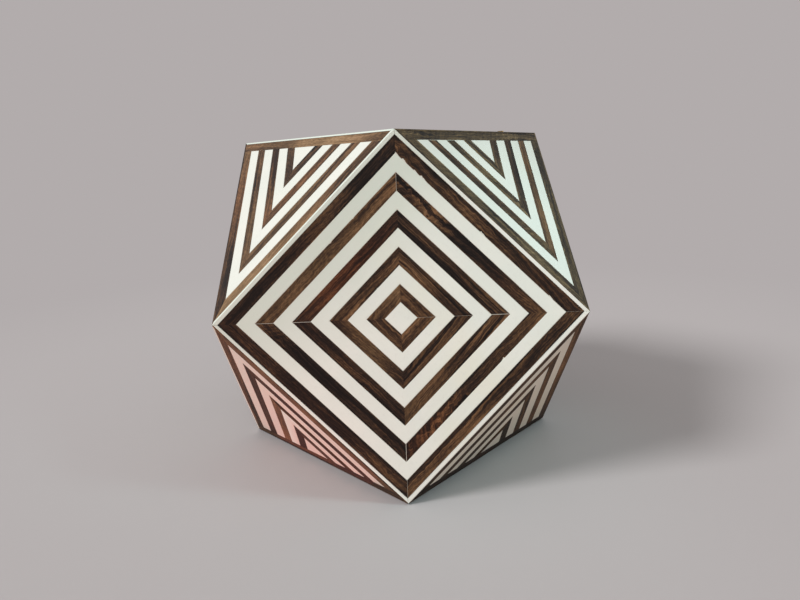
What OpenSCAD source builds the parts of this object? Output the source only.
// Inlaid wooden box in the form of a cuboctahedron: six square faces and eight triangles.
// Mitred wooden panels carry strips of rosewood and bone. The top square is the lid, on two
// brass stop hinges along its back right arris.
// Millimetres, +Z up. The origin is the middle of the underside, where the base felt rests.

/* [Body] */
// Distance between opposite square faces
body_size = 200; // [190:1:220]
// Thickness of a wall, inlay included
wall = 8; // [7:0.5:10]

/* [Inlay] */
// Thickness of the strips
inlay_t = 0.9; // [0.8:0.1:1.2]
// Width of the bone edging along the arrises of each square
edging_w = 2.3; // [1.8:0.1:3]
// Width of a rosewood strip
rosewood_w = 6.6; // [6:0.1:7.2]
// Width of a bone strip
bone_w = 7.3; // [6.6:0.1:8]
// Width of the rosewood strip across the wide end of a triangle
cross_strip_w = 6.2; // [5.5:0.1:7]
// Width of the glue line between two strips
glue = 0.12; // [0.08:0.01:0.2]

/* [Lid] */
// Clearance between the lid and the walls
lid_gap = 0.2; // [0.15:0.05:0.4]
// Length of one hinge
hinge_l = 22; // [18:1:26]
// Distance from the middle of the arris to the middle of each hinge
hinge_spread = 38; // [30:1:50]
// Thickness of a hinge leaf
leaf_t = 0.9; // [0.8:0.1:1]
// Radius of a hinge knuckle
knuckle_r = 1.5; // [1.4:0.05:1.6]
// Radius of the hinge pin
pin_r = 0.7; // [0.6:0.05:0.8]
// How far the lid opens, in degrees
lid_opens = 100; // [90:1:105]

/* [Lining] */
// Thickness of the velvet pad on the floor
floor_pad_t = 3; // [2:0.5:5]
// Thickness of the velvet pad under the lid
lid_pad_t = 2.5; // [2:0.5:4]
// How far the base felt stands below the bottom edging
felt_proud = 0.8; // [0.5:0.1:1.5]

/* [Hidden] */
$fn = 48;

// Outward directions of the faces. A square has one coordinate that isn't 0, a triangle three.
TOP = [0, 0, 1];
BOTTOM = [0, 0, -1];
FRONT = [0, -1, 0];
BACK = [0, 1, 0];
LEFT = [-1, 0, 0];
RIGHT = [1, 0, 0];
UPPER_FRONT_LEFT = [-1, -1, 1];
UPPER_FRONT_RIGHT = [1, -1, 1];
UPPER_BACK_LEFT = [-1, 1, 1];
UPPER_BACK_RIGHT = [1, 1, 1];
LOWER_FRONT_LEFT = [-1, -1, -1];
LOWER_FRONT_RIGHT = [1, -1, -1];
LOWER_BACK_LEFT = [-1, 1, -1];
LOWER_BACK_RIGHT = [1, 1, -1];
SQUARES = [TOP, BOTTOM, FRONT, BACK, LEFT, RIGHT];
TRIANGLES = [
    UPPER_FRONT_LEFT, UPPER_FRONT_RIGHT, UPPER_BACK_LEFT, UPPER_BACK_RIGHT,
    LOWER_FRONT_LEFT, LOWER_FRONT_RIGHT, LOWER_BACK_LEFT, LOWER_BACK_RIGHT
];

// The solid's own measures
half = body_size / 2;
half_edge = half / sqrt(2);
centre_z = half + felt_proud;
big = 3 * body_size;
slope = atan(sqrt(2));
dihedral = 180 - slope;
mitre_tilt = 90 - dihedral / 2;

// The inlay's own measures. The square's layer laps over the triangle's edge by lap.
pitch = rosewood_w + bone_w;
centre_min = 2;
rings = floor((half_edge - edging_w + bone_w - centre_min) / pitch);
lap = inlay_t / sin(dihedral);
apex_y = -2 * half_edge / sqrt(3);
base_y = -apex_y / 2;
cross_y = base_y - lap - cross_strip_w;
chevrons = floor(((cross_y - apex_y - 2 * centre_min) / 2 - lap + bone_w) / pitch);
overrun = 3;

// The hinge's own measures. The pin stands out from the arris so that the lid's rim swings clear.
pin_out = 1;
pin_up = 0.6;
pin_off = pin_out * cos(mitre_tilt) - pin_up * sin(mitre_tilt);
pin_rise = pin_out * sin(mitre_tilt) + pin_up * cos(mitre_tilt);
leaf_reach = pin_rise + 7.6 * wall / 8;
leaf_top = pin_rise + 0.2;
knuckle_pitch = hinge_l / 5;
knuckle_gap = 0.15;
knuckle_l = knuckle_pitch - knuckle_gap;
leaf_l = hinge_l - knuckle_gap;
bore_r = pin_r + 0.05;
wood_gap = 0.05;
swing_gap = 0.25;
head_t = 0.6;
head_r = 1.1;
stop_out = 1.2;
stop_r = knuckle_r + stop_out;
stop_bar = [-52, -22];
stop_lug = [stop_bar[1] + lid_opens + 1, stop_bar[1] + lid_opens + 30];
lid_leaf_x = -pin_off - lid_gap - leaf_t;
recess_l = hinge_l + 2 * wood_gap;
recess_z = leaf_reach + wood_gap;
screw_z = -pin_rise - 5.2 * wall / 8;
screw_spread = 0.3 * hinge_l;
screw_r = 0.65;
screw_head_r = 1.35;
screw_head_t = 0.7;
screw_l = 5;

// The lining's own measures
floor_pad_half = half_edge - 0.84 * wall;
lid_pad_half = half_edge - 1.85 * wall;
felt_half = half_edge - edging_w - rosewood_w - 0.3;

function is_square(n) = norm(n) == 1;

// How far a face is from the centre
function distance(n) = half * (is_square(n) ? 1 : 2) / norm(n);

// The faces that share an edge with a face, and for a square also the squares at its corners
function neighbours(n) = is_square(n)
    ? concat([for (m = TRIANGLES) if (n * m == 1) m], [for (m = SQUARES) if (n * m == 0) m])
    : [for (m = SQUARES) if (n * m == 1) m];

// Across a triangle: where the line at distance t from the side arris is, at height y
function side_x(y, t) = (y - apex_y) * tan(30) - t / cos(30);
function side_y(x, t) = apex_y + (x + t / cos(30)) / tan(30);

function polar(r, a) = [r * cos(a), r * sin(a)];

// Turns the +Z axis to direction n
module facing(n) {
    rotate([0, acos(n[2] / norm(n)), atan2(n[1], n[0])])
        children();
}

// All that lies behind the plane at distance d in direction n
module behind(n, d) {
    facing(n)
        translate([-big / 2, -big / 2, d - big])
            cube(big);
}

// All that lies nearer to face n than to face m, less a gap
module nearer(n, m, gap = 0) {
    between = m / norm(m) - n / norm(n);
    behind(between, (distance(m) - distance(n)) / norm(between) - gap);
}

module centred() {
    translate([0, 0, centre_z])
        children();
}

// Lays its children on a face, with +Z outward. On a triangle +Y points to the edge that the
// triangle shares with the top or bottom square.
module on_face(n) {
    facing(n)
        translate([0, 0, distance(n)])
            rotate([0, 0, is_square(n) ? 45 : 90 * n[2]])
                children();
}

// Puts its children at one hinge: origin on the pin, +Y along it, +X outward
module at_hinge(side) {
    rotate([0, 0, 45])
        translate([half_edge + pin_out, side * hinge_spread, half + pin_up])
            children();
}

// Turns -Z down the mitre between lid and wall, with +X into the wall
module along_mitre() {
    rotate([0, mitre_tilt, 0])
        children();
}

// A mitred panel behind the inlay layer of a face
module panel_body(n, gap = 0) {
    intersection() {
        facing(n)
            translate([-big / 2, -big / 2, distance(n) - wall])
                cube([big, big, wall - inlay_t]);
        intersection_for (m = neighbours(n))
            nearer(n, m, gap);
    }
}

module wall_panel(n) {
    color([0.60, 0.43, 0.28])
        centred()
            panel_body(n);
}

// A wall panel that the lid closes on, cut back under the lid's edging
module rim_body(n) {
    intersection() {
        panel_body(n);
        behind(TOP, half - inlay_t - lid_gap);
    }
}

module rim_panel(n) {
    color([0.60, 0.43, 0.28])
        centred()
            rim_body(n);
}

module hinge_panel() {
    color([0.60, 0.43, 0.28])
        centred()
            difference() {
                rim_body(UPPER_BACK_RIGHT);
                wall_recesses();
            }
}

module lid_panel() {
    color([0.60, 0.43, 0.28])
        centred()
            difference() {
                panel_body(TOP, lid_gap);
                lid_recesses();
            }
}

// One mitred side of a square ring that is r from the middle to its outer edge
module ring_side(r, w) {
    outer = r - glue / 2;
    inner = r - w + glue / 2;
    mitre = glue / sqrt(2);
    translate([0, 0, -inlay_t])
        linear_extrude(inlay_t)
            polygon([
                [mitre - outer, outer], [outer - mitre, outer],
                [inner - mitre, inner], [mitre - inner, inner]
            ]);
}

module mitred_ring(r, w) {
    for (turn = [0:90:270])
        rotate([0, 0, turn])
            ring_side(r, w);
}

// A square ring in one piece
module whole_ring(r, w) {
    translate([0, 0, -inlay_t])
        linear_extrude(inlay_t)
            difference() {
                square(2 * r - glue, center = true);
                square(2 * (r - w) + glue, center = true);
            }
}

module square_rosewood(n) {
    color([0.24, 0.15, 0.10])
        centred()
            on_face(n)
                for (i = [0:rings - 1])
                    mitred_ring(half_edge - edging_w - i * pitch, rosewood_w);
}

module square_bone(n) {
    first = half_edge - edging_w - rosewood_w;
    middle = first - (rings - 1) * pitch;
    color([0.92, 0.89, 0.81])
        centred()
            on_face(n) {
                for (i = [0:rings - 2])
                    whole_ring(first - i * pitch, bone_w);
                translate([0, 0, -inlay_t])
                    linear_extrude(inlay_t)
                        square(2 * middle - glue, center = true);
            }
}

// Four strips of width w along the arrises of a square, out to the triangles' planes and mitred
// to the next squares
module edging_body(n, w, gap = 0) {
    intersection() {
        on_face(n)
            mitred_ring(half_edge + overrun, w + overrun);
        intersection_for (m = neighbours(n))
            if (is_square(m))
                nearer(n, m, gap);
            else
                behind(m, distance(m));
    }
}

module square_edging(n) {
    color([0.95, 0.93, 0.87])
        centred()
            edging_body(n, edging_w);
}

module lid_edging() {
    color([0.95, 0.93, 0.87])
        centred()
            difference() {
                edging_body(TOP, edging_w, lid_gap);
                lid_recesses();
            }
}

// The bottom square has no bone edging: one rosewood frame runs out to its arrises
module bottom_rosewood_frame() {
    color([0.24, 0.15, 0.10])
        centred()
            edging_body(BOTTOM, edging_w + rosewood_w);
}

// The right arm of a chevron between the distances t0 and t1 from the side arris
module chevron_arm(t0, t1) {
    top = cross_y - glue / 2;
    near = t0 + glue / 2;
    far = t1 - glue / 2;
    translate([0, 0, -inlay_t])
        linear_extrude(inlay_t)
            polygon([
                [side_x(top, near), top], [side_x(top, far), top],
                [glue / 2, side_y(glue / 2, far)], [glue / 2, side_y(glue / 2, near)]
            ]);
}

module mitred_chevron(t0, t1) {
    for (flip = [0, 1])
        mirror([flip, 0, 0])
            chevron_arm(t0, t1);
}

// A chevron in one piece
module whole_chevron(t0, t1) {
    top = cross_y - glue / 2;
    near = t0 + glue / 2;
    far = t1 - glue / 2;
    translate([0, 0, -inlay_t])
        linear_extrude(inlay_t)
            polygon([
                [side_x(top, near), top], [side_x(top, far), top], [0, side_y(0, far)],
                [-side_x(top, far), top], [-side_x(top, near), top], [0, side_y(0, near)]
            ]);
}

// The strip across the wide end, longer than the triangle
module cross_strip() {
    translate([-half_edge - overrun, cross_y + glue / 2, -inlay_t])
        cube([2 * (half_edge + overrun), base_y - cross_y + overrun, inlay_t]);
}

// Rosewood of a triangle, cut where the inlay of the three squares laps over it
module triangle_rosewood_body(n) {
    intersection() {
        on_face(n) {
            cross_strip();
            for (i = [0:chevrons - 1])
                mitred_chevron(i == 0 ? -overrun : lap + i * pitch, lap + i * pitch + rosewood_w);
        }
        intersection_for (m = neighbours(n))
            behind(m, half - inlay_t - (m == TOP ? lid_gap : 0));
    }
}

module triangle_rosewood(n) {
    color([0.24, 0.15, 0.10])
        centred()
            triangle_rosewood_body(n);
}

module hinge_side_rosewood() {
    color([0.24, 0.15, 0.10])
        centred()
            difference() {
                triangle_rosewood_body(UPPER_BACK_RIGHT);
                wall_recesses();
            }
}

module triangle_bone(n) {
    first = lap + rosewood_w;
    last = first + (chevrons - 1) * pitch;
    top = cross_y - glue / 2;
    color([0.92, 0.89, 0.81])
        centred()
            on_face(n) {
                for (i = [0:chevrons - 2])
                    whole_chevron(first + i * pitch, first + i * pitch + bone_w);
                translate([0, 0, -inlay_t])
                    linear_extrude(inlay_t)
                        polygon([
                            [side_x(top, last + glue / 2), top],
                            [-side_x(top, last + glue / 2), top],
                            [0, side_y(0, last + glue / 2)]
                        ]);
            }
}

// A round bar along the pin's axis
module pin_bar(r, l) {
    rotate([90, 0, 0])
        cylinder(h = l, r = r, center = true);
}

// A slab in the mitre frame from x0 to x1 and from z0 to z1, l long
module leaf_slab(x0, x1, l, z0, z1) {
    translate([x0, -l / 2, z0])
        cube([x1 - x0, l, z1 - z0]);
}

// A stop flange between two angles round the pin
module stop_flange(r0, angles, l) {
    rotate([90, 0, 0])
        translate([0, 0, -l / 2])
            linear_extrude(l)
                polygon([
                    polar(r0, angles[0]), polar(stop_r, angles[0]),
                    polar(stop_r, angles[1]), polar(r0, angles[1])
                ]);
}

// Countersunk wood screw pointing to +Z, its head flush at 0
module screw_body(grow = 0) {
    cylinder(h = screw_head_t, r1 = screw_head_r + grow, r2 = screw_r + grow);
    cylinder(h = leaf_t + screw_l, r = screw_r + grow);
}

module slotted_screw() {
    difference() {
        screw_body();
        translate([-screw_head_r, -0.15, -0.1])
            cube([2 * screw_head_r, 0.3, 0.4]);
    }
}

// Puts its children at the screws of the wall leaf or, with into = -1, of the lid leaf
module at_screws(into) {
    along_mitre()
        for (side = [-1, 1])
            translate([into > 0 ? -pin_off : -pin_off - lid_gap, side * screw_spread, screw_z])
                rotate([0, 90 * into, 0])
                    children();
}

// A hinge leaf with knuckles at the given places along the pin, each with its stop flange
module leaf_body(x, into, own, other, flange) {
    difference() {
        union() {
            along_mitre()
                leaf_slab(x, x + leaf_t, leaf_l, -leaf_reach, -leaf_top);
            for (k = own)
                translate([0, k * knuckle_pitch, 0]) {
                    pin_bar(knuckle_r, knuckle_l);
                    stop_flange(knuckle_r / 2, flange, knuckle_l);
                    along_mitre()
                        leaf_slab(x, x + leaf_t, knuckle_l, -leaf_top - 1, 0);
                }
        }
        pin_bar(bore_r, 2 * hinge_l);
        for (k = other)
            translate([0, k * knuckle_pitch, 0])
                pin_bar(knuckle_r + knuckle_gap, knuckle_pitch + knuckle_gap);
        at_screws(into)
            screw_body(wood_gap);
    }
}

// The wall leaf's flanges are joined by a bar that the lid leaf's flanges stop against
module hinge_wall_leaf(side) {
    color([0.80, 0.64, 0.32])
        centred()
            at_hinge(side) {
                leaf_body(-pin_off, 1, [-2, 0, 2], [-1, 1], stop_bar);
                stop_flange(knuckle_r + 0.2, stop_bar, leaf_l);
            }
}

module hinge_lid_leaf(side) {
    color([0.80, 0.64, 0.32])
        centred()
            at_hinge(side)
                leaf_body(lid_leaf_x, -1, [-1, 1], [-2, 0, 2], stop_lug);
}

module hinge_pin(side) {
    color([0.80, 0.64, 0.32])
        centred()
            at_hinge(side) {
                pin_bar(pin_r, hinge_l);
                for (end = [-1, 1])
                    translate([0, end * (hinge_l + head_t) / 2, 0])
                        pin_bar(head_r, head_t);
            }
}

module wall_leaf_screws() {
    color([0.72, 0.57, 0.28])
        centred()
            for (side = [-1, 1])
                at_hinge(side)
                    at_screws(1)
                        slotted_screw();
}

module lid_leaf_screws() {
    color([0.72, 0.57, 0.28])
        centred()
            for (side = [-1, 1])
                at_hinge(side)
                    at_screws(-1)
                        slotted_screw();
}

// What both hinges take out of the wall: room for the knuckles, the leaf and its screws
module wall_recesses() {
    for (side = [-1, 1])
        at_hinge(side) {
            pin_bar(knuckle_r + swing_gap, hinge_l + 2 * (head_t + swing_gap));
            along_mitre()
                leaf_slab(-pin_off - wood_gap, -pin_off + leaf_t + wood_gap, recess_l, -recess_z, 1);
            at_screws(1)
                screw_body(wood_gap);
        }
}

// What both hinges take out of the lid, with the room that the wall leaf's root needs
module lid_recesses() {
    for (side = [-1, 1])
        at_hinge(side) {
            pin_bar(knuckle_r + swing_gap, hinge_l + 2 * (head_t + swing_gap));
            along_mitre()
                leaf_slab(lid_leaf_x - wood_gap, -pin_off + leaf_t + swing_gap, recess_l, -recess_z, 3);
            at_screws(-1)
                screw_body(wood_gap);
        }
}

// A square sheet on the inner or outer side of a face: its outer side is z from the face
module square_sheet(n, half_w, z, t) {
    centred()
        on_face(n)
            translate([-half_w, -half_w, z - t])
                cube([2 * half_w, 2 * half_w, t]);
}

module floor_pad() {
    color([0.42, 0.06, 0.10])
        square_sheet(BOTTOM, floor_pad_half, -wall, floor_pad_t);
}

module lid_pad() {
    color([0.42, 0.06, 0.10])
        square_sheet(TOP, lid_pad_half, -wall, lid_pad_t);
}

module base_felt() {
    color([0.10, 0.20, 0.14])
        square_sheet(BOTTOM, felt_half, felt_proud, inlay_t + felt_proud);
}

wall_panel(BOTTOM);  // bottom_panel
rim_panel(FRONT);  // front_panel
rim_panel(LEFT);  // left_panel
rim_panel(RIGHT);  // right_panel
rim_panel(BACK);  // back_panel
rim_panel(UPPER_FRONT_LEFT);  // upper_front_left_panel
rim_panel(UPPER_FRONT_RIGHT);  // upper_front_right_panel
rim_panel(UPPER_BACK_LEFT);  // upper_back_left_panel
hinge_panel();  // upper_back_right_panel
wall_panel(LOWER_FRONT_LEFT);  // lower_front_left_panel
wall_panel(LOWER_FRONT_RIGHT);  // lower_front_right_panel
wall_panel(LOWER_BACK_LEFT);  // lower_back_left_panel
wall_panel(LOWER_BACK_RIGHT);  // lower_back_right_panel
lid_panel();
square_rosewood(FRONT);  // front_rosewood
square_rosewood(LEFT);  // left_rosewood
square_rosewood(RIGHT);  // right_rosewood
square_rosewood(BACK);  // back_rosewood
square_rosewood(TOP);  // lid_rosewood
square_bone(FRONT);  // front_bone
square_bone(LEFT);  // left_bone
square_bone(RIGHT);  // right_bone
square_bone(BACK);  // back_bone
square_bone(TOP);  // lid_bone
square_edging(FRONT);  // front_edging
square_edging(LEFT);  // left_edging
square_edging(RIGHT);  // right_edging
square_edging(BACK);  // back_edging
lid_edging();
bottom_rosewood_frame();
triangle_rosewood(UPPER_FRONT_LEFT);  // upper_front_left_rosewood
triangle_rosewood(UPPER_FRONT_RIGHT);  // upper_front_right_rosewood
triangle_rosewood(UPPER_BACK_LEFT);  // upper_back_left_rosewood
hinge_side_rosewood();  // upper_back_right_rosewood
triangle_rosewood(LOWER_FRONT_LEFT);  // lower_front_left_rosewood
triangle_rosewood(LOWER_FRONT_RIGHT);  // lower_front_right_rosewood
triangle_rosewood(LOWER_BACK_LEFT);  // lower_back_left_rosewood
triangle_rosewood(LOWER_BACK_RIGHT);  // lower_back_right_rosewood
triangle_bone(UPPER_FRONT_LEFT);  // upper_front_left_bone
triangle_bone(UPPER_FRONT_RIGHT);  // upper_front_right_bone
triangle_bone(UPPER_BACK_LEFT);  // upper_back_left_bone
triangle_bone(UPPER_BACK_RIGHT);  // upper_back_right_bone
triangle_bone(LOWER_FRONT_LEFT);  // lower_front_left_bone
triangle_bone(LOWER_FRONT_RIGHT);  // lower_front_right_bone
triangle_bone(LOWER_BACK_LEFT);  // lower_back_left_bone
triangle_bone(LOWER_BACK_RIGHT);  // lower_back_right_bone
hinge_wall_leaf(-1);  // right_hinge_wall_leaf
hinge_lid_leaf(-1);  // right_hinge_lid_leaf
hinge_pin(-1);  // right_hinge_pin
hinge_wall_leaf(1);  // back_hinge_wall_leaf
hinge_lid_leaf(1);  // back_hinge_lid_leaf
hinge_pin(1);  // back_hinge_pin
wall_leaf_screws();
lid_leaf_screws();
floor_pad();
lid_pad();
base_felt();
